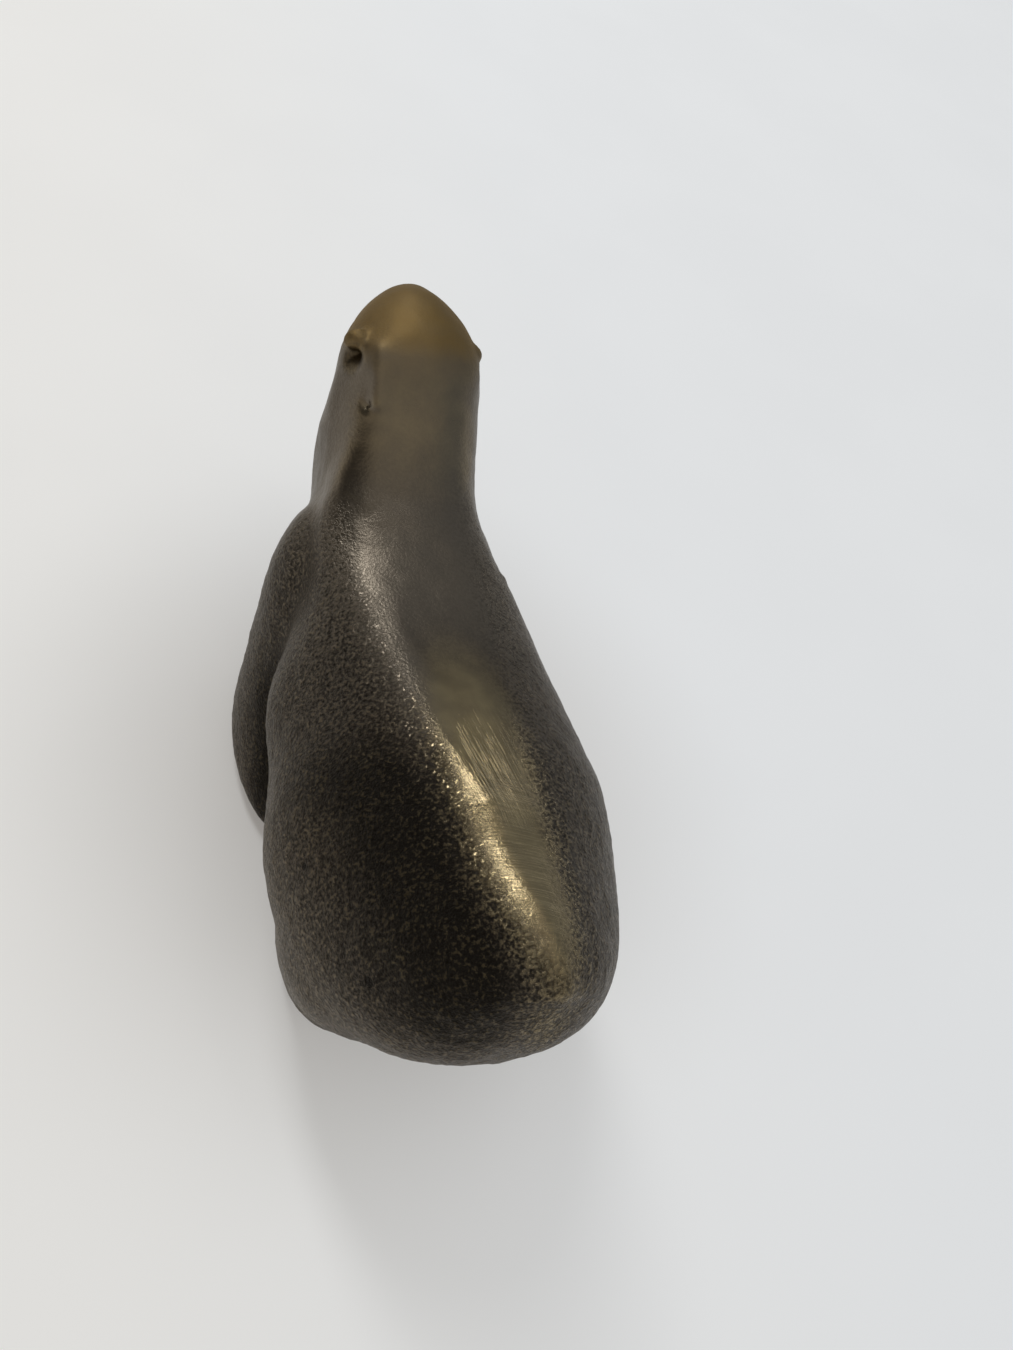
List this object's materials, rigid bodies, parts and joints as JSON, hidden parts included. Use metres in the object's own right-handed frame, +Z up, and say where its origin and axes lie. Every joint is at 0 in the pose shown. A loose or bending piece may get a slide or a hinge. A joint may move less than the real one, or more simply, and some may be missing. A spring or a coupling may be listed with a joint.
{
  "type": "bear figurine",
  "caption": "Standing bear ornament of hollow patinated bronze, head raised, with a filed and worn bright band along the spine, on felt pads.",
  "frame": {"origin": "centre of the bounding box at its bottom, on the surface that the pads rest on", "axes": "-Y is the way the bear faces, +X is the bear's left side, +Z is up"},
  "size_m": [0.0504, 0.1262, 0.0722],
  "materials": {
    "patinated_bronze": "dark brown patina on sand-cast grain, worn to bright brass along the back and on the head",
    "braze": "as brazed, satin",
    "brass": "turned, lightly tarnished",
    "felt": "pressed felt"
  },
  "bodies": {
    "root": {"left_half_casting": "patinated_bronze", "right_half_casting": "patinated_bronze", "spine_braze_bead": "braze", "neck_braze_bead": "braze", "belly_braze_bead": "braze", "rump_dowel": "brass", "withers_dowel": "brass", "chest_dowel": "brass", "vent_plug": "brass", "left_fore_pad": "felt", "right_fore_pad": "felt", "left_hind_pad": "felt", "right_hind_pad": "felt"}
  },
  "joints": []
}
